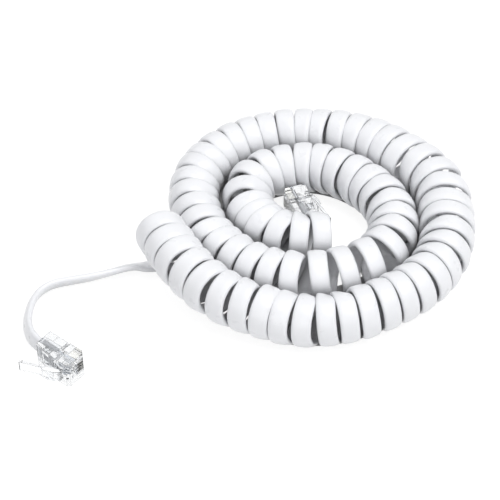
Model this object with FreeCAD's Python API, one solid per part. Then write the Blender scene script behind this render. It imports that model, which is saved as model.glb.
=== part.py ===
"""Coiled handset cord: a flat white cable wound into 72 curls that lie on a table in a loose spiral.

Each end has a straight lead and a clear four-contact modular plug with a springy latch.
Millimetres, +Z up, the table at Z = 0 and the origin under the middle of the cord.
"""

import FreeCAD, Part
import itertools
import math
import os
from FreeCAD import Matrix, Vector

os.makedirs("parts", exist_ok=True)

# Flat cable
CABLE_WIDTH = 5.0
CABLE_THICKNESS = 1.9
CABLE_EDGE_BULGE = 0.6  # how far the rounded edge stands out beyond the flat face

# Coil
COIL_RADIUS = 6.85
UNDERSIDE = 0.06  # the cable's middle runs this much higher, as its arcs bulge a little
TURNS = 72
TURN_GAP = 0.56  # kept free between neighbouring curls where they crowd
TURN_LEAN = 1.1  # how far each curl's leading side stands ahead of its middle along the coil
LEAN_SIDE = 45.0  # the side that leads, in degrees from the top towards the left of the run
LAST_LEAN = 1.8  # the last curls lean further and the other way, and leave room for the inner lead
LAST_LEAN_SIDE = -42.0
LAST_LEAN_TURNS = 3
END_LIFT = 6.0  # the first curls lie against the ring beside them, over the lead that leaves there
END_LIFT_TOP = 1.9  # turns after which they are highest
END_LIFT_TURNS = 9.5  # turns after which they lie on the table
OUTER_PULL = 1.8  # the outer lead pulls the first half curl towards the coil by this much
OUTER_RUN = 4.4  # straight run at the coil's outer end
INNER_RUN = 2.2  # and at its inner end, where the plug lies close
TRAVEL_STEP = 0.4  # the coil's direction is read this far to each side of a curl
BULGE_SHARE = 0.4  # a curl that shows narrower keeps its edges rounded by this share of its width

# Middle line of the coil on the table, from the outer lead to the inner one
COIL_ROUTE = [
    (-25.7, -3.7), (-19.5, -14.4), (-9.6, -24.6), (2.9, -29.3), (13.7, -31.7), (23.9, -30.4),
    (34.0, -25.3), (42.9, -18.9), (49.4, -11.2), (51.9, -2.3), (52.3, 7.6), (51.1, 17.0),
    (46.3, 24.6), (38.8, 31.6), (30.2, 37.7), (19.4, 40.6), (7.1, 40.5), (-4.5, 35.6),
    (-12.9, 27.0), (-16.1, 15.8), (-13.6, 3.0), (-6.8, -7.4), (2.8, -14.4), (13.2, -16.7),
    (24.0, -14.7), (32.8, -8.6), (37.8, 2.3), (35.4, 13.5), (27.2, 22.3), (18.5, 26.3),
    (10.4, 26.0), (2.8, 23.2), (-1.3, 16.4), (-0.3, 8.1), (4.8, 1.2), (11.7, -1.2),
    (17.8, -0.6),
]
# Stretches where the curls stand further apart: middle turn, turns to each side, extra pitch
OPEN_TURNS = [(24, 3, 0.25), (51, 4, 0.35), (68, 5, 0.1)]

# Plug body
PLUG_LENGTH = 11.4
PLUG_WIDTH = 7.65
CONTACT_SIDE = 3.15  # from the plug's middle plane to the face that the contacts open in
LATCH_SIDE = 3.15  # from the middle plane to the latch face at the nose
LATCH_SIDE_REAR = 1.95  # the same at the cable's mouth
TAPER_END = 7.6  # the latch face reaches its full height here, measured from the mouth
NOSE_CHAMFER = 0.7
MOULD_MARK_RADIUS = 0.45
MOULD_MARK_DEPTH = 0.4
MOULD_MARK_X = 7.8
SIDE_SLOT_X = 6.1
SIDE_SLOT_WIDTH = 0.6
SIDE_SLOT_DEPTH = 0.7

# Inside the plug
CABLE_OFFSET = 0.3  # the cable lies this much nearer the contacts than the middle plane
MOUTH_CLEARANCE = 0.2
MOUTH_DEPTH = 5.6
JACKET_END = 5.2
CONTACTS = 4
CONTACT_PITCH = 1.02
CONTACT_THICKNESS = 0.3
CONTACT_SLOT = 0.42
CONTACT_LENGTH = 3.2
CONTACT_FROM_NOSE = 0.2
CONTACT_START = PLUG_LENGTH - CONTACT_FROM_NOSE - CONTACT_LENGTH
CONTACT_RECESS = 0.3
CONTACT_CLEARANCE = 0.1
CONTACT_ROUNDING = 0.5
CONDUCTOR_RADIUS = 0.46
CHANNEL_RADIUS = 0.5
CHANNEL_FROM_NOSE = 0.4
CHANNEL_END = PLUG_LENGTH - CHANNEL_FROM_NOSE
CHANNEL_OVERLAP = 0.2  # the wire channels start this far inside the mouth
CONDUCTOR_CLEARANCE = 0.1
CONDUCTOR_END = CHANNEL_END - CONDUCTOR_CLEARANCE
JACKET_BAR_X = 2.0
JACKET_BAR_LENGTH = 2.4
BAR_WIDTH = 4.2
WIRE_BAR_X = 6.6
WIRE_BAR_LENGTH = 0.8
BAR_CLEARANCE = 0.06
BAR_RECESS = 0.35
BAR_CHAMFER_SHARE = 0.4
WIRE_BAR_GAP = 0.02

# Latch
LATCH_WIDTH = 3.2
LATCH_THICKNESS = 0.9
LATCH_GAP = 0.3  # between the body and the latch when it is pressed
LATCH_REACH = 10.8  # from the hinge to the tip
LATCH_STEP_FROM_HINGE = 1.2
LATCH_STEP_LENGTH = 3.0
LATCH_STEP = 0.55
HINGE_FROM_NOSE = 2.5
HINGE_X = PLUG_LENGTH - HINGE_FROM_NOSE
HINGE_DEPTH = 0.45  # the hinge line lies this far inside the latch face
HINGE_RADIUS = 0.42
HINGE_CLEARANCE = 0.06
HINGE_OPENING_REAR = 0.96  # the groove is open this far to each side, so that the neck can swing
HINGE_OPENING_FRONT = 0.67
NECK_WIDTH = 0.7

# Each plug lies on its side wall: its mouth's middle, the way its nose points, and the angle at which
# its latch stands out from the pressed position
OUTER_PLUG = {"mouth": (-52.2, -38.2), "heading": -38.0, "splay": 20.0}
INNER_PLUG = {"mouth": (15.2, 7.6), "heading": 110.0, "splay": 8.0}

# Leads, as points on the table between the coil's end and the plug's mouth, and the cable's tilt from
# the coil's end through each of them to the plug: 0 lies flat and 90 stands on edge
OUTER_LEAD_ROUTE = [
    (-38.0, -10.9), (-42.6, -13.1), (-47.2, -14.5), (-52.3, -16.0), (-56.1, -19.6), (-57.5, -24.9),
    (-57.1, -30.5),
]
OUTER_LEAD_TILT = [0.0, 25.0, 42.0, 48.0, 52.0, 57.0, 64.0, 73.0, 84.0, 90.0, 90.0]
INNER_LEAD_TILT = [0.0, 50.0, 88.0, 90.0]
OUTER_FIRST_RUN = 3.8  # each lead goes on in line with the coil's end for this length
INNER_FIRST_RUN = 2.6
LEAD_OUT_OF_PLUG = 2.5  # and comes straight out of the plug for this length
LEAD_OUT_OF_INNER_PLUG = 1.2
LEAD_UNDERSIDE = 0.12  # a twisting lead keeps this far off the table at its bends
ARC_SHARE = 0.45  # each bend takes up this share of the shorter run beside it
TILT_SHARE = 0.25  # and this share of the twist on each side of its point

UP = Vector(0, 0, 1)


def spline(points, steps):
    """Points along the smooth curve that the route's points steer."""
    middles = [(a + b) * 0.5 for a, b in zip(points, points[1:])]
    middles[0] = points[0]
    middles[-1] = points[-1]
    line = []
    for i in range(1, len(points) - 1):
        for k in range(steps):
            t = k / steps
            line.append(middles[i - 1] * (1 - t) ** 2 + points[i] * (2 * t * (1 - t)) + middles[i] * t**2)
    return line + [points[-1]]


class Line:
    """A curve given by close points, read by the length along it."""

    def __init__(self, points):
        self.points = points
        self.along = [0.0]
        for a, b in zip(points, points[1:]):
            self.along.append(self.along[-1] + (b - a).Length)
        self.length = self.along[-1]

    def at(self, place):
        """The point at this length; before the start and past the end the line runs on straight."""
        low, high = 0, len(self.points) - 2
        while low < high:
            middle = (low + high + 1) // 2
            if self.along[middle] <= place:
                low = middle
            else:
                high = middle - 1
        a, b = self.points[low], self.points[low + 1]
        return a + (b - a) * ((place - self.along[low]) / (self.along[low + 1] - self.along[low]))


AXIS = Line(spline([Vector(x, y, 0) for x, y in COIL_ROUTE], 24))


def opened(turn, middle, reach):
    """How much of a stretch of open turns has gone by at this turn."""
    x = (turn - middle) / reach
    if abs(x) >= 1:
        return math.copysign(0.5, x)
    return 0.5 * x + math.sin(math.pi * x) / (2 * math.pi)


def spacing_sum(turn):
    return turn + sum(extra * reach * opened(turn, middle, reach) for middle, reach, extra in OPEN_TURNS)


def place_of(turn):
    """Length along the coil's middle line at which this turn stands."""
    start, end = spacing_sum(0), spacing_sum(TURNS)
    return AXIS.length * (spacing_sum(turn) - start) / (end - start)


def lift_of(turn):
    """How far the first curls are raised: the cord leaves at the table and soon reaches the full height."""
    if turn < END_LIFT_TOP:
        return END_LIFT * math.sin(math.pi / 2 * turn / END_LIFT_TOP)
    fall = min(1.0, (turn - END_LIFT_TOP) / (END_LIFT_TURNS - END_LIFT_TOP))
    return END_LIFT * (1 + math.cos(math.pi * fall)) / 2


def ring_frame(turn):
    """The middle, travel, left and outward directions of the curl at this turn."""
    place = place_of(turn)
    travel = (AXIS.at(place + TRAVEL_STEP) - AXIS.at(place - TRAVEL_STEP)).normalize()
    left = UP.cross(travel)
    angle = math.pi - 2 * math.pi * turn
    outward = UP * math.cos(angle) + left * math.sin(angle)
    last = min(1.0, max(0.0, (turn - TURNS + LAST_LEAN_TURNS) / (LAST_LEAN_TURNS - 1)))
    lead_side = math.radians(LEAN_SIDE + (LAST_LEAN_SIDE - LEAN_SIDE) * last)
    lean = TURN_LEAN + (LAST_LEAN - TURN_LEAN) * last
    shift = lean * (math.cos(angle - lead_side) - math.cos(math.pi - lead_side))
    if turn < 0.5:
        shift += OUTER_PULL * (1 - turn / 0.5) ** 2
    height = COIL_RADIUS + UNDERSIDE + lift_of(turn)
    middle = AXIS.at(place) + UP * height + travel * shift
    return middle, travel, left, outward


def coil_point(turn, radius):
    middle, _, _, outward = ring_frame(turn)
    return middle + outward * radius


def curl_width(turn):
    """The cable's width as it shows: on the inside of a bend the curls crowd and overlap."""
    here = coil_point(turn, COIL_RADIUS)
    _, travel, _, outward = ring_frame(turn)
    onward = travel.cross(outward)
    widths = [CABLE_WIDTH]
    for other in (turn - 1, turn + 1):
        slip = (coil_point(other, COIL_RADIUS) - here).dot(onward) / (2 * math.pi * COIL_RADIUS)
        beside = other - slip
        if 0 <= beside <= TURNS:
            apart = coil_point(beside, COIL_RADIUS) - here
            if abs(apart.dot(outward)) < CABLE_THICKNESS + TURN_GAP:
                widths.append(abs(apart.dot(travel)) - TURN_GAP)
    return min(widths)


def section(place, travel, flat_normal, width):
    """The flat cable's outline across its run, with rounded edges."""
    across = travel.cross(flat_normal).normalize()
    normal = across.cross(travel).normalize()
    bulge = min(CABLE_EDGE_BULGE, BULGE_SHARE * width)
    half = width / 2 - bulge

    def corner(x, y):
        return place + across * x + normal * y

    top = CABLE_THICKNESS / 2
    return Part.Wire([
        Part.LineSegment(corner(-half, top), corner(half, top)).toShape(),
        Part.Arc(corner(half, top), corner(half + bulge, 0), corner(half, -top)).toShape(),
        Part.LineSegment(corner(half, -top), corner(-half, -top)).toShape(),
        Part.Arc(corner(-half, -top), corner(-half - bulge, 0), corner(-half, top)).toShape(),
    ])


def tangent_arc(start, travel, end):
    """The arc that leaves start along travel and meets end, or the straight run if it has no bend."""
    chord = end - start
    side = chord - travel * chord.dot(travel)
    if side.Length < 1e-6:
        return Part.LineSegment(start, end).toShape(), None
    radius = chord.dot(chord) / (2 * side.Length)
    centre = start + side.normalize() * radius
    bulge = (start + end) * 0.5 - centre
    return Part.Arc(start, centre + bulge.normalize() * radius, end).toShape(), radius


def biarc(start, start_travel, end, end_travel):
    """Two arcs that join two places and follow the direction of travel at both."""
    chord = end - start
    both = start_travel + end_travel
    a = 2 * (1 - start_travel.dot(end_travel))
    b = 2 * chord.dot(both)
    c = -chord.dot(chord)
    reach = -c / b if abs(a) < 1e-9 else (-b + math.sqrt(b * b - 4 * a * c)) / (2 * a)
    first, second = start + start_travel * reach, end - end_travel * reach
    joint = (first + second) * 0.5
    edges = []
    radii = []
    for p, direction, q in ((start, start_travel, joint), (joint, (second - first).normalize(), end)):
        edge, radius = tangent_arc(p, direction, q)
        edges.append(edge)
        if radius:
            radii.append(radius)
    return Part.Wire(edges), radii


def cable_solid(stations, spans):
    """One unbroken flat cable through its stations: place, travel, flat normal and width."""
    outlines = [section(*station) for station in stations]
    faces = [Part.Face(outlines[0]), Part.Face(outlines[-1])]
    for span, before, after in zip(spans, outlines, outlines[1:]):
        faces += span.makePipeShell([before, after], False, False).Faces
    shell = Part.makeShell(faces)
    shell.sewShape()
    return Part.makeSolid(shell)


def coil_travel(turn):
    """The cable's own direction at this turn."""
    step = 1e-4
    radius = COIL_RADIUS - CABLE_THICKNESS / 2
    low, high = max(0.0, turn - step), min(float(TURNS), turn + step)
    return (coil_point(high, radius) - coil_point(low, radius)).normalize()


def coil_ends():
    """Where the coil hands over to its leads: place and direction, outer end first."""
    radius = COIL_RADIUS - CABLE_THICKNESS / 2
    ends = []
    for turn, sign, run in ((0, -1, OUTER_RUN), (TURNS, 1, INNER_RUN)):
        travel = coil_travel(turn) * sign
        travel = Vector(travel.x, travel.y, 0).normalize()
        ends.append((coil_point(turn, radius) + travel * run, travel))
    return ends


def make_coil():
    """All the curls as one cable, with a straight run at each end."""
    radius = COIL_RADIUS - CABLE_THICKNESS / 2
    stations, spans, radii = [], [], []
    (outer_end, outer_travel), (inner_end, inner_travel) = coil_ends()
    stations.append((outer_end, outer_travel * -1, UP * -1, CABLE_WIDTH))
    for quarter in range(4 * TURNS + 1):
        turn = quarter / 4
        travel = coil_travel(turn)
        if quarter == 0:
            travel = outer_travel * -1
        if quarter == 4 * TURNS:
            travel = inner_travel
        stations.append((coil_point(turn, radius), travel, ring_frame(turn)[3], curl_width(turn)))
    stations.append((inner_end, inner_travel, UP * -1, CABLE_WIDTH))
    spans.append(Part.Wire([Part.LineSegment(stations[0][0], stations[1][0]).toShape()]))
    for a, b in zip(stations[1:-2], stations[2:-1]):
        wire, found = biarc(a[0], a[1], b[0], b[1])
        spans.append(wire)
        radii += found
    spans.append(Part.Wire([Part.LineSegment(stations[-2][0], stations[-1][0]).toShape()]))
    print("coil: tightest arc %.2f mm, narrowest curl %.2f mm" % (min(radii), min(s[3] for s in stations)))
    return cable_solid(stations, spans)


def surface_points(turn):
    """Points all over the cable's outline at this place in the coil."""
    middle, travel, _, outward = ring_frame(turn)
    width = curl_width(turn)
    bulge = min(CABLE_EDGE_BULGE, BULGE_SHARE * width)
    half = width / 2 - bulge
    mid_radius = COIL_RADIUS - CABLE_THICKNESS / 2
    points = [middle + outward * mid_radius + travel * (side * (half + bulge)) for side in (-1, 1)]
    for radius in (COIL_RADIUS, COIL_RADIUS - CABLE_THICKNESS):
        points += [middle + outward * radius + travel * (half * share) for share in (-1, -0.5, 0, 0.5, 1)]
    return points


def print_least_gap():
    """The least gap from one curl to the next or to another ring, measured on points of the surface."""
    per_turn, cell = 48, 1.5
    cells = {}
    least = [cell, 0, 0]
    for i in range(per_turn * TURNS + 1):
        for point in surface_points(i / per_turn):
            key = tuple(int(math.floor(v / cell)) for v in point)
            for x, y, z in itertools.product((-1, 0, 1), repeat=3):
                for j, other in cells.get((key[0] + x, key[1] + y, key[2] + z), ()):
                    if i - j > per_turn * 3 // 4 and (point - other).Length < least[0]:
                        least = [(point - other).Length, i / per_turn, j / per_turn]
            cells.setdefault(key, []).append((i, point))
    print("coil: least gap to itself %.2f mm, at turns %.2f and %.2f" % tuple(least))


def plug_matrix(plug):
    """Takes the plug's own frame, with its mouth's middle at the origin, to where it lies."""
    matrix = Matrix()
    matrix.rotateZ(math.radians(plug["heading"]))
    matrix.move(Vector(plug["mouth"][0], plug["mouth"][1], PLUG_WIDTH / 2))
    return matrix


def box(x0, x1, y0, y1, z0, z1):
    return Part.makeBox(x1 - x0, y1 - y0, z1 - z0, Vector(x0, y0, z0))


def prism(points, width):
    """An outline in the plug's X and Y, as wide as given and centred on its middle."""
    corners = [Vector(x, y, -width / 2) for x, y in points]
    face = Part.Face(Part.makePolygon(corners + corners[:1]))
    return face.extrude(Vector(0, 0, width))


def latch_face(x):
    """Distance of the latch face from the middle plane, this far from the mouth."""
    share = min(1.0, x / TAPER_END)
    return LATCH_SIDE_REAR + (LATCH_SIDE - LATCH_SIDE_REAR) * share


def contact_places():
    return [(i - (CONTACTS - 1) / 2) * CONTACT_PITCH for i in range(CONTACTS)]


def make_housing():
    """The clear body: mouth for the cable, wire channels, contact slots, windows and hinge groove."""
    body = prism([
        (0, -LATCH_SIDE_REAR), (TAPER_END, -LATCH_SIDE), (PLUG_LENGTH - NOSE_CHAMFER, -LATCH_SIDE),
        (PLUG_LENGTH, -LATCH_SIDE + NOSE_CHAMFER), (PLUG_LENGTH, CONTACT_SIDE - NOSE_CHAMFER),
        (PLUG_LENGTH - NOSE_CHAMFER, CONTACT_SIDE), (0, CONTACT_SIDE),
    ], PLUG_WIDTH)
    half_mouth = CABLE_WIDTH / 2 + MOUTH_CLEARANCE
    low = CABLE_OFFSET - CABLE_THICKNESS / 2 - MOUTH_CLEARANCE
    high = CABLE_OFFSET + CABLE_THICKNESS / 2 + MOUTH_CLEARANCE
    cuts = [box(0, MOUTH_DEPTH, low, high, -half_mouth, half_mouth)]
    for z in contact_places():
        start = Vector(MOUTH_DEPTH - CHANNEL_OVERLAP, CABLE_OFFSET, z)
        cuts.append(Part.makeCylinder(CHANNEL_RADIUS, CHANNEL_END - start.x, start, Vector(1, 0, 0)))
        cuts.append(box(CONTACT_START - CONTACT_CLEARANCE, PLUG_LENGTH, CABLE_OFFSET, CONTACT_SIDE,
                        z - CONTACT_SLOT / 2, z + CONTACT_SLOT / 2))
    for x, length, inner in bar_places():
        cuts.append(box(x - BAR_CLEARANCE, x + length + BAR_CLEARANCE, -LATCH_SIDE, CABLE_OFFSET,
                        -BAR_WIDTH / 2 - BAR_CLEARANCE, BAR_WIDTH / 2 + BAR_CLEARANCE))
    hinge_y = -(LATCH_SIDE - HINGE_DEPTH)
    groove = HINGE_RADIUS + HINGE_CLEARANCE
    half_latch = LATCH_WIDTH / 2 + HINGE_CLEARANCE
    cuts.append(Part.makeCylinder(groove, 2 * half_latch, Vector(HINGE_X, hinge_y, -half_latch)))
    cuts.append(box(HINGE_X - HINGE_OPENING_REAR, HINGE_X + HINGE_OPENING_FRONT, -LATCH_SIDE, hinge_y,
                    -half_latch, half_latch))
    for side in (-1, 1):
        wall = side * PLUG_WIDTH / 2
        mark_start = Vector(MOULD_MARK_X, 0, wall - side * MOULD_MARK_DEPTH)
        cuts.append(Part.makeCylinder(MOULD_MARK_RADIUS, MOULD_MARK_DEPTH, mark_start, Vector(0, 0, side)))
        slot_floor = wall - side * SIDE_SLOT_DEPTH
        cuts.append(box(SIDE_SLOT_X, SIDE_SLOT_X + SIDE_SLOT_WIDTH, CABLE_OFFSET, CONTACT_SIDE,
                        min(wall, slot_floor), max(wall, slot_floor)))
    return body.cut(Part.makeCompound(cuts))


def bar_places():
    """Start, length and inner face of the bar on the jacket and the bar on the wires."""
    on_jacket = CABLE_OFFSET - CABLE_THICKNESS / 2
    on_wires = CABLE_OFFSET - CONDUCTOR_RADIUS - WIRE_BAR_GAP
    return [(JACKET_BAR_X, JACKET_BAR_LENGTH, on_jacket), (WIRE_BAR_X, WIRE_BAR_LENGTH, on_wires)]


def make_bar(x, length, inner):
    """A locking bar, pushed in from the latch face until it holds what passes under it."""
    outer = -(latch_face(x) - BAR_RECESS)
    chamfer = BAR_CHAMFER_SHARE * length
    return prism([
        (x, outer), (x + length, outer), (x + length, inner), (x + chamfer, inner), (x, inner - chamfer),
    ], BAR_WIDTH)


def make_contact(z):
    """A contact blade with two teeth that bite into its wire."""
    top = CONTACT_SIDE - CONTACT_RECESS
    shoulder = CABLE_OFFSET + CONDUCTOR_RADIUS + CONTACT_CLEARANCE
    start, end = CONTACT_START, CONTACT_START + CONTACT_LENGTH
    tooth = CONTACT_LENGTH / 4
    blade = prism([
        (start, shoulder), (start + tooth / 2, CABLE_OFFSET), (start + tooth, shoulder),
        (end - tooth, shoulder), (end - tooth / 2, CABLE_OFFSET), (end, shoulder),
        (end, top - CONTACT_ROUNDING), (end - CONTACT_ROUNDING, top), (start, top),
    ], CONTACT_THICKNESS)
    blade.translate(Vector(0, 0, z))
    return blade


def make_conductor(z, blade):
    """One insulated wire, from the jacket's end to the nose, cut where the teeth go in."""
    wire = Part.makeCylinder(CONDUCTOR_RADIUS, CONDUCTOR_END - JACKET_END,
                             Vector(JACKET_END, CABLE_OFFSET, z), Vector(1, 0, 0))
    return wire.cut(blade)


def make_latch(splay):
    """The springy latch, drawn pressed and then turned out to the angle that it rests at."""
    hinge_y = -(LATCH_SIDE - HINGE_DEPTH)
    inner = -(LATCH_SIDE + LATCH_GAP)
    outer = inner - LATCH_THICKNESS
    tip = HINGE_X - LATCH_REACH
    step_start = HINGE_X - LATCH_STEP_FROM_HINGE
    arm = prism([
        (tip, outer), (step_start - LATCH_STEP_LENGTH - LATCH_STEP, outer),
        (step_start - LATCH_STEP_LENGTH, outer - LATCH_STEP), (step_start, outer - LATCH_STEP),
        (HINGE_X + NECK_WIDTH / 2, outer), (HINGE_X + NECK_WIDTH / 2, hinge_y),
        (HINGE_X - NECK_WIDTH / 2, hinge_y), (HINGE_X - NECK_WIDTH / 2, inner), (tip, inner),
    ], LATCH_WIDTH)
    pin = Part.makeCylinder(HINGE_RADIUS, LATCH_WIDTH, Vector(HINGE_X, hinge_y, -LATCH_WIDTH / 2))
    latch = arm.fuse(pin).removeSplitter()
    latch.rotate(Vector(HINGE_X, hinge_y, 0), Vector(0, 0, 1), splay)
    return latch


def plug_pieces(name, plug):
    """Every piece of one plug, in its place."""
    pieces = {name + "_housing": make_housing(), name + "_latch": make_latch(plug["splay"])}
    for label, bar in zip(("jacket_bar", "wire_bar"), bar_places()):
        pieces["%s_%s" % (name, label)] = make_bar(*bar)
    for number, z in enumerate(contact_places(), 1):
        blade = make_contact(z)
        pieces["%s_contact_%d" % (name, number)] = blade
        pieces["%s_conductor_%d" % (name, number)] = make_conductor(z, blade)
    matrix = plug_matrix(plug)
    placed = {}
    for key, piece in pieces.items():
        solid = piece.Solids[0].copy()
        solid.transformShape(matrix)
        placed[key] = solid
    return placed


def on_plug(plug, x):
    """A place on the cable's line in this plug, this far in from the mouth."""
    return plug_matrix(plug).multVec(Vector(x, CABLE_OFFSET, 0))


def tilted_normal(travel, tilt):
    """The cable's flat normal, leaning by the tilt: 0 lies flat and 90 stands on edge."""
    angle = math.radians(tilt)
    left = UP.cross(Vector(travel.x, travel.y, 0)).normalize()
    upward = travel.cross(left)
    return upward * math.cos(angle) - left * math.sin(angle)


def lead_height(tilt):
    """Height of the cable's middle above the table at this tilt."""
    angle = math.radians(tilt)
    return LEAD_UNDERSIDE + (CABLE_WIDTH / 2) * math.sin(angle) + (CABLE_THICKNESS / 2) * math.cos(angle)


def first_lead_point(end, travel, run, tilt):
    """Where a lead that goes on in line with the coil's end makes its first bend."""
    point = end + travel * run
    return Vector(point.x, point.y, lead_height(tilt))


def make_lead(name, points, tilts):
    """The cable from the coil into a plug: straight runs joined by tangent arcs, twisting on the way."""
    stations, spans, radii = [], [], []
    here = points[0]
    travel = (points[1] - points[0]).normalize()
    level = Vector(travel.x, travel.y, 0).normalize()
    stations.append((here, level, tilted_normal(level, tilts[0]), CABLE_WIDTH))
    for i in range(1, len(points) - 1):
        before, after = points[i] - points[i - 1], points[i + 1] - points[i]
        out = Vector(after).normalize()
        turn = travel.getAngle(out)
        back = ARC_SHARE * min(before.Length, after.Length)
        enter, leave = points[i] - travel * back, points[i] + out * back
        spans.append(Part.Wire([Part.LineSegment(here, enter).toShape()]))
        tilt_before = tilts[i] + (tilts[i - 1] - tilts[i]) * TILT_SHARE
        stations.append((enter, travel, tilted_normal(travel, tilt_before), CABLE_WIDTH))
        arc, radius = tangent_arc(enter, travel, leave)
        radii.append(back / math.tan(turn / 2))
        spans.append(Part.Wire([arc]))
        tilt_after = tilts[i] + (tilts[i + 1] - tilts[i]) * TILT_SHARE
        stations.append((leave, out, tilted_normal(out, tilt_after), CABLE_WIDTH))
        here, travel = leave, out
    spans.append(Part.Wire([Part.LineSegment(here, points[-1]).toShape()]))
    stations.append((points[-1], travel, tilted_normal(travel, tilts[-1]), CABLE_WIDTH))
    solid = cable_solid(stations, spans)
    length = sum(span.Length for span in spans)
    area = Part.Face(section(*stations[0])).Area
    print("%s: radii %s" % (name, " ".join("%.1f" % r for r in radii)))
    print("%s: volume %.1f, section times length %.1f" % (name, solid.Volume, area * length))
    return solid


def make_model():
    (outer_end, outer_travel), (inner_end, inner_travel) = coil_ends()
    nodes = {"curly_cord": make_coil()}
    outer = [outer_end, first_lead_point(outer_end, outer_travel, OUTER_FIRST_RUN, OUTER_LEAD_TILT[1])]
    for (x, y), tilt in zip(OUTER_LEAD_ROUTE, OUTER_LEAD_TILT[2:]):
        outer.append(Vector(x, y, lead_height(tilt)))
    outer += [on_plug(OUTER_PLUG, -LEAD_OUT_OF_PLUG), on_plug(OUTER_PLUG, JACKET_END)]
    nodes["outer_lead"] = make_lead("outer_lead", outer, OUTER_LEAD_TILT)
    inner = [inner_end, first_lead_point(inner_end, inner_travel, INNER_FIRST_RUN, INNER_LEAD_TILT[1])]
    inner += [on_plug(INNER_PLUG, -LEAD_OUT_OF_INNER_PLUG), on_plug(INNER_PLUG, JACKET_END)]
    nodes["inner_lead"] = make_lead("inner_lead", inner, INNER_LEAD_TILT)
    nodes.update(plug_pieces("outer_plug", OUTER_PLUG))
    nodes.update(plug_pieces("inner_plug", INNER_PLUG))
    return nodes


nodes = make_model()
print_least_gap()
whole = FreeCAD.BoundBox()
for node, shape in nodes.items():
    whole.add(shape.BoundBox)
    print("%-26s %-6s valid %s volume %.2f z %.2f" % (
        node, shape.ShapeType, shape.isValid(), shape.Volume, shape.BoundBox.ZMin))
    shape.exportStep("parts/%s.step" % node)
print("box X %.2f..%.2f Y %.2f..%.2f Z %.2f..%.2f" % (
    whole.XMin, whole.XMax, whole.YMin, whole.YMax, whole.ZMin, whole.ZMax))
for name, plug in (("outer_plug", OUTER_PLUG), ("inner_plug", INNER_PLUG)):
    matrix = plug_matrix(plug)
    hinge = matrix.multVec(Vector(HINGE_X, -(LATCH_SIDE - HINGE_DEPTH), 0))
    nose = matrix.multVec(Vector(PLUG_LENGTH, 0, 0))
    print("%s: hinge %.3f %.3f %.3f, nose %.3f %.3f %.3f" % (name, *hinge, *nose))
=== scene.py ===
import math

import bmesh
import bpy
from mathutils import Matrix, Vector


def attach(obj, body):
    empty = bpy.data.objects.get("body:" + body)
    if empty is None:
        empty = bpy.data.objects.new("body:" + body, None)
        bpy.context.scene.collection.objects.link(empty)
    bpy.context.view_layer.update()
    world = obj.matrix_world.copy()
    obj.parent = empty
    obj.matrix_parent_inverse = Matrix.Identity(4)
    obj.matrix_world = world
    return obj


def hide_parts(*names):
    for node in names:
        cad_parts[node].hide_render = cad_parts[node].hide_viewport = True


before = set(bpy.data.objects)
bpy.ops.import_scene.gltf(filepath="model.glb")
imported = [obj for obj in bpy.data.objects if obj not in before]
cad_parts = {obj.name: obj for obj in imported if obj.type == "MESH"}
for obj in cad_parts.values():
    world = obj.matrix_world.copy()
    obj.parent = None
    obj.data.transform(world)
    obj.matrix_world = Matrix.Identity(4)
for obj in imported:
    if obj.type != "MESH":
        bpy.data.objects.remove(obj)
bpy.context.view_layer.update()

# Lengths are in metres, angles in degrees and places along the coil in turns

# Flat cable
CABLE_WIDTH = 0.005
CABLE_THICKNESS = 0.0019
PROFILE_POINTS = 18
PROFILE_POWER = 2.7  # above 2 the cable's section is fuller than an ellipse

# Coil
TURNS = 72
STEPS_PER_TURN = 40
COIL_RADIUS = 0.00705
UNDERSIDE = 0.00006  # the coil's height above the table
TURN_LEAN = 0.0016  # how far a curl leans along the coil
LEAN_SIDE = 80.0  # the side of the curl that leans onward
LAST_LEAN = 0.0012
LAST_LEAN_SIDE = 20.0
LAST_LEAN_TURNS = 3
END_LIFT = 0.006  # how far the first curls are raised
END_LIFT_TOP = 0.5  # the turn at which they are highest
END_LIFT_TURNS = 9.5  # the turn from which on they lie on the table
OUTER_PULL = 0.0018  # the outer lead pulls the first half curl back this far
OUTER_PULL_TURNS = 0.5
TRAVEL_STEP = 0.0004  # half the stretch of middle line that gives its direction
HANDOVER_STEP = 0.0001  # the same for the cable where it leaves the coil, in turns

# Curls aren't all alike: swings in their spacing, lean and height, as size, turns and start in radians
SPACING_SWINGS = [(0.00014, 3.3, 0.4), (0.0001, 1.9, 2.1), (0.0002, 7.3, 1.2)]
LEAN_SWINGS = [(0.0003, 4.3, 0.9), (0.0002, 2.6, 2.7)]
HEIGHT_SWINGS = [(0.00016, 2.9, 0.3), (0.00012, 1.7, 1.9)]
SWING_FADE = 3  # turns over which they fade out at both ends of the coil

# Where curls crowd on the inside of a bend they overlap like roof tiles
OVERLAP_FROM = 0.0054  # curls nearer to each other than this begin to overlap
OVERLAP_FULL = 0.004
OVERLAP_SHARE = 0.6  # they are soft, and press into each other instead of standing up fully

# Middle line of the coil on the table, from the outer lead to the inner one
COIL_ROUTE = [
    (-0.0241, -0.0039), (-0.0195, -0.0144), (-0.0096, -0.0246), (0.0029, -0.0293), (0.0137, -0.0317),
    (0.0239, -0.0304), (0.0340, -0.0253), (0.0429, -0.0189), (0.0488, -0.0106), (0.0512, -0.0023),
    (0.0516, 0.0076), (0.0505, 0.0170), (0.0460, 0.0244), (0.0388, 0.0316), (0.0302, 0.0377),
    (0.0194, 0.0406), (0.0071, 0.0405), (-0.0045, 0.0356), (-0.0129, 0.0270), (-0.0161, 0.0158),
    (-0.0136, 0.0030), (-0.0068, -0.0074), (0.0028, -0.0144), (0.0132, -0.0167), (0.0240, -0.0147),
    (0.0335, -0.0088), (0.0381, 0.0023), (0.0354, 0.0135), (0.0272, 0.0223), (0.0185, 0.0263),
    (0.0104, 0.0260), (0.0028, 0.0232), (-0.0013, 0.0164), (-0.0003, 0.0081), (0.0048, 0.0012),
    (0.0117, -0.0012), (0.0183, -0.0004),
]
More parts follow.
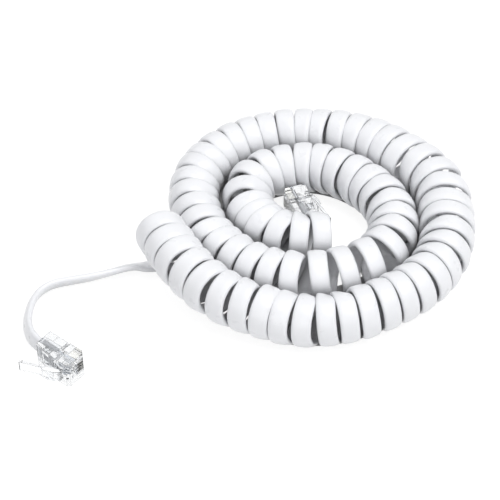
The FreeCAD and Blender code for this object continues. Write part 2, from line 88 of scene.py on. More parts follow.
# Stretches where the curls stand further apart or closer: middle turn, turns to each side, extra pitch
OPEN_TURNS = [(24, 3, 0.25), (51, 4, 0.35), (65.2, 2.2, 0.12), (68.6, 3, -0.38)]
# Stretches where the curls are larger: middle turn, turns to each side, extra radius
WIDE_TURNS = [(24, 10, 0.0008)]

# Leads, as points on the table from the coil's end to the plug's mouth, and the cable's tilt from the
# coil's end through each of them to the plug: 0 lies flat and 90 stands on edge
OUTER_LEAD_ROUTE = [
    (-0.0380, -0.0103), (-0.0426, -0.0119), (-0.0472, -0.0130), (-0.0523, -0.0144),
    (-0.0559, -0.0184), (-0.0571, -0.0241), (-0.0569, -0.0303),
]
OUTER_LEAD_TILT = [20.0, 40.0, 50.0, 56.0, 58.0, 60.0, 64.0, 68.0, 74.0, 86.0, 90.0]
INNER_LEAD_TILT = [0.0, 50.0, 88.0, 90.0]
OUTER_RUN = 0.0044  # how far each lead runs straight on from the coil before it bends
INNER_RUN = 0.0022
OUTER_FIRST_RUN = 0.0038  # and how much further its first point on the table lies
INNER_FIRST_RUN = 0.0026
LEAD_OUT_OF_OUTER_PLUG = 0.0025  # where it is straight in front of the plug
LEAD_OUT_OF_INNER_PLUG = 0.0012
LEAD_UNDERSIDE = 0.00012
ROUTE_STEPS = 24

# Plugs: where the mouth's middle lies and the way the nose points
PLUG_WIDTH = 0.00765
PLUGS = {
    "outer_plug": {"mouth": (-0.0522, -0.0382), "heading": -38.0},
    "inner_plug": {"mouth": (0.0152, 0.0076), "heading": 110.0},
}
PLUG_PARTS = ["housing", "latch", "jacket_bar", "wire_bar"]
HOUSING_ROUNDING = 0.0001
SMALL_PART_ROUNDING = 0.00012
MERGE_DISTANCE = 0.000001  # the CAD mesh's corners are joined, and its flat faces made whole, within these
FLAT_ANGLE = 1.0
ROUNDED_ANGLE = 35.0  # edges sharper than this are softened

# Inside the plug, measured from its mouth and its middle plane
CONTACT_SIDE = 0.00315
CABLE_OFFSET = 0.0003
JACKET_END = 0.0052
CONTACTS = 4
CONTACT_PITCH = 0.00102
CONTACT_THICKNESS = 0.0003
CONTACT_START = 0.008
CONTACT_LENGTH = 0.0032
CONTACT_RECESS = 0.0003
CONTACT_CLEARANCE = 0.0001
CONTACT_ROUNDING = 0.0005
EDGE_ROUNDING = 0.00004
CONDUCTOR_RADIUS = 0.00046
CONDUCTOR_END = 0.0109
CONDUCTOR_SIDES = 20
STRAND_RADIUS = 0.0002

# Finishes
NOISE_LOW = 0.3  # a noise keeps mostly between these two
NOISE_HIGH = 0.7
RAY_SAMPLES = 6
CREVICE_REACH = 0.011  # painted shade: white plastic's colour is darker in gaps narrower than this
CREVICE_SHADE = 0.5
CREVICE_CLOSED = 0.15  # the share of open surround at which it is dimmest, and at which it isn't dim
CREVICE_OPEN = 0.52
OUTLINE_WIDTH = 0.00045  # painted shade: clear plastic's colour is darker this near to its edges
OUTLINE_SHADE = 0.13
OUTLINE_SHARP = 0.85  # how far softened and real surface agree where it is darkest, and where it isn't dark
OUTLINE_FLAT = 0.985
CLEAR_TINT = (0.9, 0.91, 0.92)  # of the light that clear plastic lets through

# Camera: the photograph's viewing angle, from in front and above
CAMERA_TARGET = Vector((-0.0005, 0.0013, 0.0))
CAMERA_DISTANCE = 0.48
CAMERA_ELEVATION = 44.0
CAMERA_LENS = 129.6  # millimetres, on a sensor 36 mm wide
SENSOR_WIDTH = 36.0
CLIP_START = 0.01
CLIP_END = 20.0

# White table
FLOOR_SIZE = 6.0
FLOOR_GLOW = 0.86  # the share of the floor's white that shadows don't dim
FLOOR_ALBEDO = 0.3
FLOOR_BOUNCE = 0.8  # its white as the cord sees it

# The strip of it under the coil: a dark sheet of painted shadow, which doesn't glow
STRIP_OPEN = 0.0024  # the strip's edge, from the coil's middle line on an open side
STRIP_NEXT = 0.0075  # and where the next ring lies beside it
NEXT_RING_TURN = 43.5  # the next ring lies inside the coil before this turn, and outside it after
STRIP_START = 0.11  # from this share of the coil's length on, as the first curls are raised
STRIP_RISE = 0.00002
STRIP_ALBEDO = 0.5
STRIP_ROUGHNESS = 0.9
STRIP_STEPS_PER_TURN = 3

# Surround
SKY_LIGHT = 0.38
SKY_COLOR = (0.98, 0.985, 1.0, 1.0)
HORIZON_SHADE = 0.4  # clear plastic and gloss show this low, dim part of the surround at their edges
HORIZON_TOP = 0.3

# Soft boxes: name, watts, side and place; each is turned to what the camera looks at
LAMPS = [
    ("key", 4.5, 0.7, (0.3, -0.05, 0.8)),
    ("fill", 2.3, 0.8, (0.0, -0.85, 0.5)),
    ("back", 1.4, 0.8, (-0.5, 0.4, 0.7)),
]

UP = Vector((0, 0, 1))


def link(obj):
    bpy.context.scene.collection.objects.link(obj)
    return obj


def baked(obj, name):
    """The object with its modifiers applied, as a plain mesh object in its place."""
    bpy.context.view_layer.update()
    depsgraph = bpy.context.evaluated_depsgraph_get()
    mesh = bpy.data.meshes.new_from_object(obj.evaluated_get(depsgraph))
    bpy.data.objects.remove(obj)
    mesh.name = name
    return link(bpy.data.objects.new(name, mesh))


def write_outward(bm, mesh):
    """Writes this geometry to the mesh, with its faces turned outward."""
    bmesh.ops.recalc_face_normals(bm, faces=bm.faces)
    bm.to_mesh(mesh)
    bm.free()


def tube_mesh(name, verts, rings, sides):
    """A closed tube over rings of this many vertices each, smooth and turned outward."""
    faces = []
    for i in range(rings - 1):
        for k in range(sides):
            a, b = i * sides + k, i * sides + (k + 1) % sides
            faces.append((a, b, b + sides, a + sides))
    faces.append(tuple(reversed(range(sides))))
    faces.append(tuple(range(len(verts) - sides, len(verts))))
    mesh = bpy.data.meshes.new(name)
    mesh.from_pydata(verts, [], faces)
    bm = bmesh.new()
    bm.from_mesh(mesh)
    write_outward(bm, mesh)
    mesh.shade_smooth()
    return mesh


def route_points(points):
    """Close points along the smooth curve that these points steer."""
    curve = bpy.data.curves.new("route", "CURVE")
    curve.dimensions = "3D"
    spline = curve.splines.new("NURBS")
    spline.points.add(len(points) - 1)
    for point, place in zip(spline.points, points):
        point.co = (*place, 1.0)
    spline.order_u = 3
    spline.use_endpoint_u = True
    spline.resolution_u = ROUTE_STEPS
    route = link(bpy.data.objects.new("route", curve))
    line = baked(route, "route_line")
    found = [vertex.co.copy() for vertex in line.data.vertices]
    bpy.data.objects.remove(line)
    return found


class Line:
    """A curve given by close points, read by the length along it."""

    def __init__(self, points):
        self.points = points
        self.along = [0.0]
        for a, b in zip(points, points[1:]):
            self.along.append(self.along[-1] + (b - a).length)
        self.length = self.along[-1]

    def at(self, place):
        low, high = 0, len(self.points) - 2
        while low < high:
            middle = (low + high + 1) // 2
            if self.along[middle] <= place:
                low = middle
            else:
                high = middle - 1
        a, b = self.points[low], self.points[low + 1]
        return a + (b - a) * ((place - self.along[low]) / (self.along[low + 1] - self.along[low]))

    def travel(self, place):
        """The direction of the curve there."""
        return (self.at(place + TRAVEL_STEP) - self.at(place - TRAVEL_STEP)).normalized()


AXIS = Line(route_points([(x, y, 0.0) for x, y in COIL_ROUTE]))


def opened(turn, middle, reach):
    """How much of a stretch of open turns has gone by at this turn."""
    x = (turn - middle) / reach
    if abs(x) >= 1:
        return math.copysign(0.5, x)
    return 0.5 * x + math.sin(math.pi * x) / (2 * math.pi)


def spacing_sum(turn):
    """The turn, with the extra pitch of the open stretches up to there."""
    return turn + sum(extra * reach * opened(turn, middle, reach) for middle, reach, extra in OPEN_TURNS)


def radius_at(turn):
    """The coil's outer radius at this turn."""
    radius = COIL_RADIUS
    for middle, reach, extra in WIDE_TURNS:
        radius += extra * (0.5 + 0.5 * math.cos(math.pi * min(1.0, abs(turn - middle) / reach)))
    return radius


def swing(swings, turn):
    """A small unevenness, which fades out at both ends of the coil."""
    fade = min(1.0, turn / SWING_FADE, (TURNS - turn) / SWING_FADE)
    return fade * sum(size * math.sin(2 * math.pi * turn / period + start) for size, period, start in swings)


def place_of(turn):
    """Length along the coil's middle line at which this turn stands."""
    start, end = spacing_sum(0), spacing_sum(TURNS)
    return AXIS.length * (spacing_sum(turn) - start) / (end - start) + swing(SPACING_SWINGS, turn)


def lift_of(turn):
    """How far the first curls are raised."""
    if turn < END_LIFT_TOP:
        return END_LIFT * math.sin(math.pi / 2 * turn / END_LIFT_TOP)
    fall = min(1.0, (turn - END_LIFT_TOP) / (END_LIFT_TURNS - END_LIFT_TOP))
    return END_LIFT * (1 + math.cos(math.pi * fall)) / 2


def lean_at(turn, angle):
    """How far the curl leans along the coil, at this angle around it."""
    last = min(1.0, max(0.0, (turn - TURNS + LAST_LEAN_TURNS) / (LAST_LEAN_TURNS - 1)))
    side = math.radians(LEAN_SIDE + (LAST_LEAN_SIDE - LEAN_SIDE) * last)
    lean = TURN_LEAN + swing(LEAN_SWINGS, turn) + (LAST_LEAN - TURN_LEAN) * last
    return lean * (math.cos(angle - side) - math.cos(math.pi - side))


def ring_frame(turn):
    """The middle, travel and outward direction of the curl at this turn."""
    place = place_of(turn)
    travel = AXIS.travel(place)
    angle = math.pi - 2 * math.pi * turn
    outward = UP * math.cos(angle) + UP.cross(travel) * math.sin(angle)
    shift = lean_at(turn, angle)
    if turn < OUTER_PULL_TURNS:
        shift += OUTER_PULL * (1 - turn / OUTER_PULL_TURNS) ** 2
    rise = radius_at(turn) + UNDERSIDE + lift_of(turn) + abs(swing(HEIGHT_SWINGS, turn))
    return AXIS.at(place) + UP * rise + travel * shift, travel, outward


def coil_point(turn, radius):
    middle, _, outward = ring_frame(turn)
    return middle + outward * radius


def spacing_at(turn):
    """How far the nearer neighbouring curl lies along the coil, at this side of the curl."""
    here = coil_point(turn, COIL_RADIUS)
    _, travel, outward = ring_frame(turn)
    onward = travel.cross(outward)
    found = [2 * CABLE_WIDTH]
    for other in (turn - 1, turn + 1):
        slip = (coil_point(other, COIL_RADIUS) - here).dot(onward) / (2 * math.pi * COIL_RADIUS)
        beside = other - slip
        if 0 <= beside <= TURNS:
            found.append(abs((coil_point(beside, COIL_RADIUS) - here).dot(travel)))
    return min(found)


def overlap_tilt(turn):
    """The angle by which crowded curls are turned, so that each lies on the next."""
    spacing = spacing_at(turn)
    share = min(1.0, max(0.0, (OVERLAP_FROM - spacing) / (OVERLAP_FROM - OVERLAP_FULL)))
    return OVERLAP_SHARE * share * math.asin(min(1.0, CABLE_THICKNESS / spacing))


def curl_station(turn):
    """Place and flat normal of the cable at this turn."""
    middle, travel, outward = ring_frame(turn)
    tilt = overlap_tilt(turn)
    depth = CABLE_WIDTH / 2 * math.sin(tilt) + CABLE_THICKNESS / 2 * math.cos(tilt)
    normal = outward * math.cos(tilt) + travel * math.sin(tilt)
    return middle + outward * (radius_at(turn) - depth), -normal


def plug_matrix(plug):
    """Takes the plug's own frame, with its mouth's middle at the origin, to where it lies."""
    x, y = plug["mouth"]
    return Matrix.Translation((x, y, PLUG_WIDTH / 2)) @ Matrix.Rotation(math.radians(plug["heading"]), 4, "Z")


def on_plug(plug, x):
    """A place on the cable's line in this plug, this far in from the mouth."""
    return plug_matrix(plug) @ Vector((x, CABLE_OFFSET, 0.0))


def lead_height(tilt):
    """Height of the cable's middle above the table at this tilt."""
    angle = math.radians(tilt)
    return LEAD_UNDERSIDE + (CABLE_WIDTH / 2) * math.sin(angle) + (CABLE_THICKNESS / 2) * math.cos(angle)


def coil_end(turn, sign, run):
    """Where the coil hands over to a lead, and the direction in which it does."""
    radius = COIL_RADIUS - CABLE_THICKNESS / 2
    low, high = max(0.0, turn - HANDOVER_STEP), min(float(TURNS), turn + HANDOVER_STEP)
    travel = (coil_point(high, radius) - coil_point(low, radius)) * sign
    travel = Vector((travel.x, travel.y, 0.0)).normalized()
    return coil_point(turn, radius) + travel * run, travel


def lead_stations(start, turn, sign, runs, route, tilts, plug, out):
    """Places and flat normals along a lead from the coil into its plug, which twists by its tilts."""
    end, travel = coil_end(turn, sign, runs[0])
    first = end + travel * runs[1]
    points = [start, end]
    for (x, y), tilt in zip([(first.x, first.y)] + route, tilts[1:]):
        points.append(Vector((x, y, lead_height(tilt))))
    points += [on_plug(plug, -out), on_plug(plug, JACKET_END)]
    places = route_points(points)
    angles = route_points([(tilt, 0.0, 0.0) for tilt in [0.0] + tilts])
    stations = []
    for i, place in enumerate(places):
        ahead = places[min(i + 1, len(places) - 1)] - places[max(i - 1, 0)]
        left = UP.cross(Vector((ahead.x, ahead.y, 0.0))).normalized()
        upward = ahead.normalized().cross(left)
        angle = math.radians(angles[i].x)
        stations.append((place, upward * math.cos(angle) - left * math.sin(angle)))
    return stations


def cable_stations():
    """Place and flat normal all along the cable, from the outer plug to the inner one."""
    coil = [curl_station(i / STEPS_PER_TURN) for i in range(TURNS * STEPS_PER_TURN + 1)]
    outer = lead_stations(coil[0][0], 0, -1, (OUTER_RUN, OUTER_FIRST_RUN), OUTER_LEAD_ROUTE, OUTER_LEAD_TILT,
                          PLUGS["outer_plug"], LEAD_OUT_OF_OUTER_PLUG)
    inner = lead_stations(coil[-1][0], TURNS, 1, (INNER_RUN, INNER_FIRST_RUN), [], INNER_LEAD_TILT,
                          PLUGS["inner_plug"], LEAD_OUT_OF_INNER_PLUG)
    return outer[:0:-1] + coil + inner[1:]


def profile():
    """The cable's rounded flat section, as across and outward distances."""
    points = []
    for k in range(PROFILE_POINTS):
        angle = 2 * math.pi * k / PROFILE_POINTS
        c, s = math.cos(angle), math.sin(angle)
        x = math.copysign(abs(c) ** (2 / PROFILE_POWER), c) * CABLE_WIDTH / 2
        y = math.copysign(abs(s) ** (2 / PROFILE_POWER), s) * CABLE_THICKNESS / 2
        points.append((x, y))
    return points


def make_cable(name):
    """The whole cable as one mesh tube, with its length and its girth as a UV map."""
    stations = cable_stations()
    section = profile()
    verts, along = [], [0.0]
    for i, (place, normal) in enumerate(stations):
        before = stations[max(i - 1, 0)][0]
        after = stations[min(i + 1, len(stations) - 1)][0]
        travel = (after - before).normalized()
        across = travel.cross(normal).normalized()
        outward = across.cross(travel)
        verts += [place + across * x + outward * y for x, y in section]
        if i:
            along.append(along[-1] + (place - stations[i - 1][0]).length)
    mesh = tube_mesh(name, verts, len(stations), PROFILE_POINTS)
    uv = mesh.uv_layers.new(name="along").data
    for face in mesh.polygons[:-2]:
        for corner in face.loop_indices:
            row, k = divmod(mesh.loops[corner].vertex_index, PROFILE_POINTS)
            if k == 0 and face.index % PROFILE_POINTS == PROFILE_POINTS - 1:
                k = PROFILE_POINTS
            uv[corner].uv = (along[row] / CABLE_WIDTH, k / PROFILE_POINTS)
    return link(bpy.data.objects.new(name, mesh)), [place for place, _ in stations]


def add_node(tree, kind, inputs=None, **settings):
    """A new node with these settings; each input gets its value, or a link from another node's output."""
    node = tree.nodes.new(kind)
    for name, value in settings.items():
        setattr(node, name, value)
    for socket, value in (inputs or {}).items():
        if isinstance(value, bpy.types.NodeSocket):
            tree.links.new(value, node.inputs[socket])
        else:
            node.inputs[socket].default_value = value
    return node


def calculated(tree, operation, a, b):
    return add_node(tree, "ShaderNodeMath", {0: a, 1: b}, operation=operation).outputs["Value"]


def ranged(tree, value, low, high, start, end):
    """From low, where the value is at its start, to high, where it is at its end."""
    inputs = {"Value": value, "From Min": start, "From Max": end, "To Min": low, "To Max": high}
    return add_node(tree, "ShaderNodeMapRange", inputs).outputs["Result"]


class Finish:
    """A node material in the making: one glossy or clear surface, and what varies it."""

    def __init__(self, name, **constants):
        self.material = bpy.data.materials.new(name)
        self.material.use_nodes = True
        self.tree = self.material.node_tree
        self.surface = self.tree.nodes["Principled BSDF"]
        for socket, value in constants.items():
            self.surface.inputs[socket.replace("_", " ")].default_value = value
        self.places = self.add("TexCoord").outputs["Object"]

    def add(self, kind, inputs=None, **settings):
        return add_node(self.tree, "ShaderNode" + kind, inputs, **settings)

    def set(self, socket, value):
        self.tree.links.new(value, self.surface.inputs[socket])

    def noise(self, scale, detail=3.0, source=None):
        inputs = {"Scale": scale, "Detail": detail, "Vector": source or self.places}
        return self.add("TexNoise", inputs).outputs["Fac"]

    def stretched(self, uv_map, stretch):
        """The piece's own UV map, drawn out so that a noise on it runs along the cable."""
        uv = self.add("UVMap", uv_map=uv_map)
        return self.add("Mapping", {"Vector": uv.outputs["UV"], "Scale": stretch}).outputs["Vector"]

    def ranged(self, value, low, high, start=NOISE_LOW, end=NOISE_HIGH):
        """The value from low to high; unless it says otherwise, the value is a noise."""
        return ranged(self.tree, value, low, high, start, end)

    def blended(self, value, first, second):
        """From the first colour to the second, as a noise goes from low to high."""
        ramp = self.add("ValToRGB", {"Fac": value})
        stops = ((NOISE_LOW, first), (NOISE_HIGH, second))
        for element, (position, color) in zip(ramp.color_ramp.elements, stops):
            element.position = position
            element.color = (*color, 1.0)
        return ramp.outputs["Color"]

    def scaled(self, color, level):
        """The colour at this level, where 1 leaves it as it is."""
        return self.add("VectorMath", {0: color, "Scale": level}, operation="SCALE").outputs["Vector"]

    def with_painted_shade(self, color):
        """The colour with painted shade: darker in narrow gaps, where little light gets in."""
        share = self.add("AmbientOcclusion", {"Distance": CREVICE_REACH}, samples=RAY_SAMPLES).outputs["AO"]
        return self.scaled(color, self.ranged(share, CREVICE_SHADE, 1.0, CREVICE_CLOSED, CREVICE_OPEN))

    def with_painted_edge_shade(self, color):
        """The colour with painted shade: darker along the edges, where clear plastic bends the light away."""
        softened = self.add("Bevel", {"Radius": OUTLINE_WIDTH}, samples=RAY_SAMPLES).outputs["Normal"]
        real = self.add("NewGeometry").outputs["Normal"]
        agree = self.add("VectorMath", {0: softened, 1: real}, operation="DOT_PRODUCT").outputs["Value"]
        agree = self.add("Math", {0: agree}, operation="ABSOLUTE").outputs["Value"]
        return self.scaled(color, self.ranged(agree, OUTLINE_SHADE, 1.0, OUTLINE_SHARP, OUTLINE_FLAT))

    def bump(self, value, depth):
        inputs = {"Height": value, "Distance": depth, "Strength": 1.0}
        self.set("Normal", self.add("Bump", inputs).outputs["Normal"])

    def lit_through(self, tint):
        """Lets the lamps light what lies behind this surface."""
        path = self.add("LightPath").outputs
        either = calculated(self.tree, "MAXIMUM", path["Is Shadow Ray"], path["Is Diffuse Ray"])
        through = self.add("BsdfTransparent", {"Color": (*tint, 1.0)})
        inputs = {"Fac": either, 1: self.surface.outputs["BSDF"], 2: through.outputs["BSDF"]}
        pick = self.add("MixShader", inputs)
        self.tree.links.new(pick.outputs["Shader"], self.tree.nodes["Material Output"].inputs["Surface"])


def jacket_finish():
    """Glossy white soft plastic, with faint drawn lines along the cable and painted shade in its crevices."""
    finish = Finish("white_jacket", Roughness=0.3, Coat_Weight=0.25, Coat_Roughness=0.18, IOR=1.5)
    white = finish.blended(finish.noise(scale=90.0), (0.872, 0.880, 0.905), (0.898, 0.905, 0.927))
    # painted shade: the white base colour is darkened in crevices, where little light gets in
    finish.set("Base Color", finish.with_painted_shade(white))
    finish.set("Roughness", finish.ranged(finish.noise(scale=350.0, detail=4.0), low=0.26, high=0.36))
    drawn = finish.stretched("along", (0.6, 60.0, 1.0))
    finish.bump(finish.noise(scale=1.0, detail=2.0, source=drawn), depth=0.00002)
    return finish.material


def clear_finish():
    """Clear moulded plastic, a little wavy, as thin clear mouldings are."""
    finish = Finish("clear_plastic", Roughness=0.06, Transmission_Weight=0.97, IOR=1.46)
    clear = finish.blended(finish.noise(scale=260.0), (0.955, 0.965, 0.975), (0.985, 0.99, 1.0))
    # painted shade: the clear plastic's colour is darker along its edges
    finish.set("Base Color", finish.with_painted_edge_shade(clear))
    finish.set("Roughness", finish.ranged(finish.noise(scale=700.0, detail=4.0), low=0.04, high=0.1))
    finish.bump(finish.noise(scale=420.0, detail=1.0), depth=0.00001)
    finish.lit_through(CLEAR_TINT)
    return finish.material


def gold_finish():
    """Thin, pale gold plate on a stamped blade."""
    finish = Finish("gold_plate", Roughness=0.25, Metallic=1.0)
    pale = finish.blended(finish.noise(scale=900.0), (0.78, 0.765, 0.72), (0.86, 0.85, 0.81))
    finish.set("Base Color", pale)
    finish.set("Roughness", finish.ranged(finish.noise(scale=2500.0), low=0.18, high=0.34))
    return finish.material


def wire_finish():
    """Pale grey wire insulation, each wire in a shade of its own."""
    finish = Finish("wire_insulation", Roughness=0.4, IOR=1.48)
    shade = finish.add("Attribute", attribute_name="wire_shade").outputs["Fac"]
    finish.set("Base Color", finish.blended(shade, (0.55, 0.59, 0.64), (0.82, 0.84, 0.87)))
    finish.set("Roughness", finish.ranged(finish.noise(scale=1500.0), low=0.34, high=0.48))
    return finish.material


def soften_edges(piece, width):
    bevel = piece.modifiers.new("soft_edges", "BEVEL")
    bevel.width = width
    bevel.segments = 2
    return bevel


def rounded_copy(node, name, width, material):
    """A copy of a moulded piece with its edges softened, as moulding leaves them."""
    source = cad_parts[node]
    mesh = source.data.copy()
    bm = bmesh.new()
    bm.from_mesh(mesh)
    bm.transform(source.matrix_world)
    bmesh.ops.remove_doubles(bm, verts=bm.verts, dist=MERGE_DISTANCE)
    bmesh.ops.dissolve_limit(bm, angle_limit=math.radians(FLAT_ANGLE), verts=bm.verts, edges=bm.edges)
    bm.to_mesh(mesh)
    bm.free()
    mesh.materials.clear()
    mesh.materials.append(material)
    piece = link(bpy.data.objects.new(name, mesh))
    bevel = soften_edges(piece, width)
    bevel.limit_method = "ANGLE"
    bevel.angle_limit = math.radians(ROUNDED_ANGLE)
    bevel.use_clamp_overlap = True
    return baked(piece, name)


def row_tree():
    """Repeats the piece it is given in a row across the plug, and numbers the copies from 0 to 1."""
    tree = bpy.data.node_groups.new("piece_row", "GeometryNodeTree")
    sockets = {"Geometry": "Geometry", "Count": "Int", "Pitch": "Float", "Material": "Material"}
    for name, kind in sockets.items():
        tree.interface.new_socket(name, in_out="INPUT", socket_type="NodeSocket" + kind)
    tree.interface.new_socket("Geometry", in_out="OUTPUT", socket_type="NodeSocketGeometry")
    given = add_node(tree, "NodeGroupInput").outputs

    def across(distance):
        return add_node(tree, "ShaderNodeCombineXYZ", {"Z": distance}).outputs["Vector"]

    gaps = calculated(tree, "SUBTRACT", given["Count"], 1.0)
    width = calculated(tree, "MULTIPLY", gaps, given["Pitch"])
    start = calculated(tree, "MULTIPLY", width, -0.5)
    places = {"Count": given["Count"], "Start Location": across(start), "Offset": across(given["Pitch"])}
    line = add_node(tree, "GeometryNodeMeshLine", places).outputs["Mesh"]
    copies = add_node(tree, "GeometryNodeInstanceOnPoints", {"Points": line, "Instance": given["Geometry"]})
    index = add_node(tree, "GeometryNodeInputIndex").outputs["Index"]
    share = calculated(tree, "DIVIDE", index, gaps)
    numbered = {"Geometry": copies.outputs["Instances"], "Name": "wire_shade", "Value": share}
    store = add_node(tree, "GeometryNodeStoreNamedAttribute", numbered, domain="INSTANCE", data_type="FLOAT")
    real = add_node(tree, "GeometryNodeRealizeInstances", {"Geometry": store.outputs["Geometry"]})
    painted = {"Geometry": real.outputs["Geometry"], "Material": given["Material"]}
    paint = add_node(tree, "GeometryNodeSetMaterial", painted)
    add_node(tree, "NodeGroupOutput", {"Geometry": paint.outputs["Geometry"]})
    return tree


def repeated(piece, name, tree, material):
    """The piece four times over, one for each wire of the cable."""
    modifier = piece.modifiers.new("row", "NODES")
    modifier.node_group = tree
    values = {"Count": CONTACTS, "Pitch": CONTACT_PITCH, "Material": material}
    for item in tree.interface.items_tree:
        if item.in_out == "INPUT" and item.name in values:
            modifier[item.identifier] = values[item.name]
    return baked(piece, name)


def arc_points(cx, cy, radius, start, end, steps=5):
    """Points along an arc, by its start and end angles."""
    found = []
    for i in range(steps + 1):
        angle = math.radians(start + (end - start) * i / steps)
        found.append((cx + radius * math.cos(angle), cy + radius * math.sin(angle)))
    return found


def slab(name, outline, thickness):
    """An outline in the plug's X and Y, this thick and centred on Z = 0."""
    bm = bmesh.new()
    face = bm.faces.new([bm.verts.new((x, y, -thickness / 2)) for x, y in outline])
    grown = bmesh.ops.extrude_face_region(bm, geom=[face])["geom"]
    top = [item for item in grown if isinstance(item, bmesh.types.BMVert)]
    bmesh.ops.translate(bm, verts=top, vec=(0.0, 0.0, thickness))
    mesh = bpy.data.meshes.new(name)
    write_outward(bm, mesh)
    return link(bpy.data.objects.new(name, mesh))


def make_blade(name):
    """A stamped contact blade: two teeth in its wire, and a rounded crown that the jack's spring meets."""
    top = CONTACT_SIDE - CONTACT_RECESS
    shoulder = CABLE_OFFSET + CONDUCTOR_RADIUS + CONTACT_CLEARANCE
    start, end = CONTACT_START, CONTACT_START + CONTACT_LENGTH
    tooth, r = CONTACT_LENGTH / 4, CONTACT_ROUNDING
    outline = [
        (start, shoulder), (start + tooth / 2, CABLE_OFFSET), (start + tooth, shoulder),
        (end - tooth, shoulder), (end - tooth / 2, CABLE_OFFSET), (end, shoulder),
    ]
    outline += arc_points(end - r, top - r, r, 0.0, 90.0)
    outline += arc_points(start + r / 2, top - r / 2, r / 2, 90.0, 180.0)
    blade = slab(name, outline, CONTACT_THICKNESS)
    soften_edges(blade, EDGE_ROUNDING)
    return blade


def make_wire(name):
    """One insulated wire as a turned piece: rounded insulation and the cut strand at its end."""
    length = CONDUCTOR_END - JACKET_END
    soft = CONDUCTOR_RADIUS / 5
    rings = [
        (0.0, STRAND_RADIUS), (0.0, CONDUCTOR_RADIUS - soft), (soft, CONDUCTOR_RADIUS),
        (length - soft, CONDUCTOR_RADIUS), (length - soft / 4, CONDUCTOR_RADIUS - soft),
        (length - soft / 4, STRAND_RADIUS), (length, STRAND_RADIUS * 0.9),
    ]
    verts = []
    for x, radius in rings:
        for k in range(CONDUCTOR_SIDES):
            angle = 2 * math.pi * k / CONDUCTOR_SIDES
            verts.append((JACKET_END + x, CABLE_OFFSET + radius * math.cos(angle), radius * math.sin(angle)))
    return link(bpy.data.objects.new(name, tube_mesh(name, verts, len(rings), CONDUCTOR_SIDES)))


def dress_plug(name, plug, tree, clear, gold, insulation):
    """All the visible pieces of one plug, each riding with its CAD body."""
    pieces = []
    for part in PLUG_PARTS:
        node = name + "_" + part
        width = HOUSING_ROUNDING if part == "housing" else SMALL_PART_ROUNDING
        piece = rounded_copy(node, name + "_clear_" + part, width, clear)
        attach(piece, name.replace("plug", "latch") if part == "latch" else "root")
        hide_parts(node)
        pieces.append(piece)
    rows = [
        ("contact", make_blade, "contact_gold", gold),
        ("conductor", make_wire, "wire_insulation", insulation),
    ]
    for part, make, slot, material in rows:
        row = repeated(make(name + "_" + part), "%s_%s_row" % (name, part), tree, material)
        row.data.transform(plug_matrix(plug))
        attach(row, "root")
        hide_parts(*["%s_%s_%d" % (name, part, number) for number in range(1, CONTACTS + 1)])
        pieces.append(row)
    return pieces


def dress_cord():
    """The cable and both plugs; the cable leaves the outer plug and ends in the inner one."""
    tree = row_tree()
    clear, gold, insulation = clear_finish(), gold_finish(), wire_finish()
    dressed = {name: dress_plug(name, plug, tree, clear, gold, insulation) for name, plug in PLUGS.items()}
    cable, path = make_cable("handset_cable")
    cable.data.materials.append(jacket_finish())
    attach(cable, "root")
    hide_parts("curly_cord", "outer_lead", "inner_lead")


def make_camera():
    data = bpy.data.cameras.new("camera")
    data.lens = CAMERA_LENS
    data.sensor_width = SENSOR_WIDTH
    data.clip_start = CLIP_START
    data.clip_end = CLIP_END
    camera = link(bpy.data.objects.new("camera", data))
    rise = math.radians(CAMERA_ELEVATION)
    camera.location = CAMERA_TARGET + CAMERA_DISTANCE * Vector((0.0, -math.cos(rise), math.sin(rise)))
    camera.rotation_euler = (math.radians(90.0) - rise, 0.0, 0.0)
    bpy.context.scene.camera = camera


def seen_directly(tree):
    """1 where the camera sees a surface, directly, in a reflection or through clear plastic."""
    path = add_node(tree, "ShaderNodeLightPath").outputs
    seen = path["Is Camera Ray"]
    for kind in ("Is Glossy Ray", "Is Transmission Ray"):
        seen = calculated(tree, "MAXIMUM", seen, path[kind])
    return seen


def grey(level):
    return (level, level, level, 1.0)


def flat_piece(name, verts, faces, material):
    mesh = bpy.data.meshes.new(name)
    mesh.from_pydata(verts, [], faces)
    mesh.materials.append(material)
    return link(bpy.data.objects.new(name, mesh))


def table_finish():
    """White that mostly glows where it is seen, so that it is only softly shaded by shadows."""
    material = bpy.data.materials.new("white_table")
    material.use_nodes = True
    tree = material.node_tree
    tree.nodes.clear()
    plain = add_node(tree, "ShaderNodeBsdfDiffuse", {"Color": grey(FLOOR_BOUNCE)}).outputs["BSDF"]
    shaded = add_node(tree, "ShaderNodeBsdfDiffuse", {"Color": grey(FLOOR_ALBEDO)}).outputs["BSDF"]
    glow = add_node(tree, "ShaderNodeEmission", {"Color": grey(FLOOR_GLOW)}).outputs["Emission"]
    both = add_node(tree, "ShaderNodeAddShader", {0: shaded, 1: glow}).outputs["Shader"]
    pick = add_node(tree, "ShaderNodeMixShader", {"Fac": seen_directly(tree), 1: plain, 2: both})
    add_node(tree, "ShaderNodeOutputMaterial", {"Surface": pick.outputs["Shader"]})
    return material


def make_floor():
    """A white table that keeps the cord's soft shadow."""
    half = FLOOR_SIZE / 2
    corners = [(-half, -half, 0), (half, -half, 0), (half, half, 0), (-half, half, 0)]
    floor = flat_piece("floor", corners, [(0, 1, 2, 3)], table_finish())


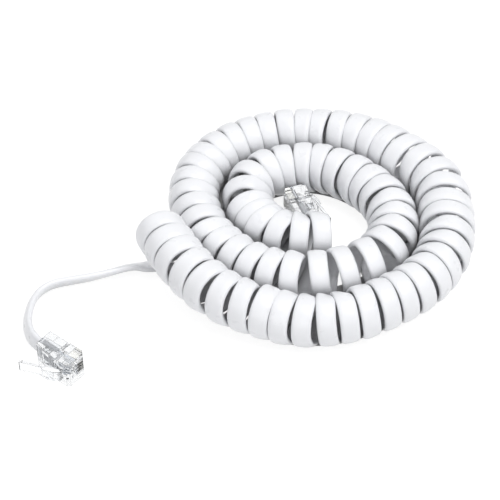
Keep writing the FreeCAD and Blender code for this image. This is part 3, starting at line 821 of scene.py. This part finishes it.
def make_shade():
    """The strip under the coil: a dark sheet of painted shadow, where the table lies in the coil's shade."""
    verts, faces = [], []
    steps = STRIP_STEPS_PER_TURN * TURNS
    for i in range(steps + 1):
        place = AXIS.length * (STRIP_START + (1 - STRIP_START) * i / steps)
        left = UP.cross(AXIS.travel(place))
        middle = AXIS.at(place) + UP * STRIP_RISE
        inner, outer = STRIP_NEXT, STRIP_OPEN
        if place > place_of(NEXT_RING_TURN):
            inner, outer = outer, inner
        verts += [middle + left * inner, middle - left * outer]
        if i:
            faces.append((2 * i - 2, 2 * i - 1, 2 * i + 1, 2 * i))
    # painted shadow: a dark sheet on the table under the coil
    shadow_sheet = Finish("painted_shadow_under_coil", Base_Color=grey(STRIP_ALBEDO), Roughness=STRIP_ROUGHNESS)
    shade = flat_piece("painted_shadow_under_coil", verts, faces, shadow_sheet.material)


def make_world():
    """An even white surround: plain white where it is seen, and softer where it lights the cord."""
    world = bpy.data.worlds.new("white_surround")
    world.use_nodes = True
    tree = world.node_tree
    tree.nodes.clear()
    around = add_node(tree, "ShaderNodeTexCoord").outputs["Generated"]
    height = add_node(tree, "ShaderNodeSeparateXYZ", {"Vector": around}).outputs["Z"]
    mirrored = ranged(tree, height, HORIZON_SHADE, 1.0, start=0.0, end=HORIZON_TOP)
    camera_ray = add_node(tree, "ShaderNodeLightPath").outputs["Is Camera Ray"]
    level = calculated(tree, "MAXIMUM", mirrored, camera_ray)
    white = add_node(tree, "ShaderNodeBackground", {"Color": grey(1.0), "Strength": level})
    soft = add_node(tree, "ShaderNodeBackground", {"Color": SKY_COLOR, "Strength": SKY_LIGHT})
    inputs = {"Fac": seen_directly(tree), 1: soft.outputs["Background"], 2: white.outputs["Background"]}
    pick = add_node(tree, "ShaderNodeMixShader", inputs)
    add_node(tree, "ShaderNodeOutputWorld", {"Surface": pick.outputs["Shader"]})
    bpy.context.scene.world = world


def make_lamps():
    for name, power, side, place in LAMPS:
        data = bpy.data.lights.new(name, "AREA")
        data.energy = power
        data.size = side
        lamp = link(bpy.data.objects.new(name, data))
        lamp.location = place
        lamp.rotation_euler = (CAMERA_TARGET - Vector(place)).to_track_quat("-Z", "Y").to_euler()


make_camera()
dress_cord()
make_floor()
make_shade()
make_world()
make_lamps()
bpy.context.scene.view_settings.view_transform = "Standard"
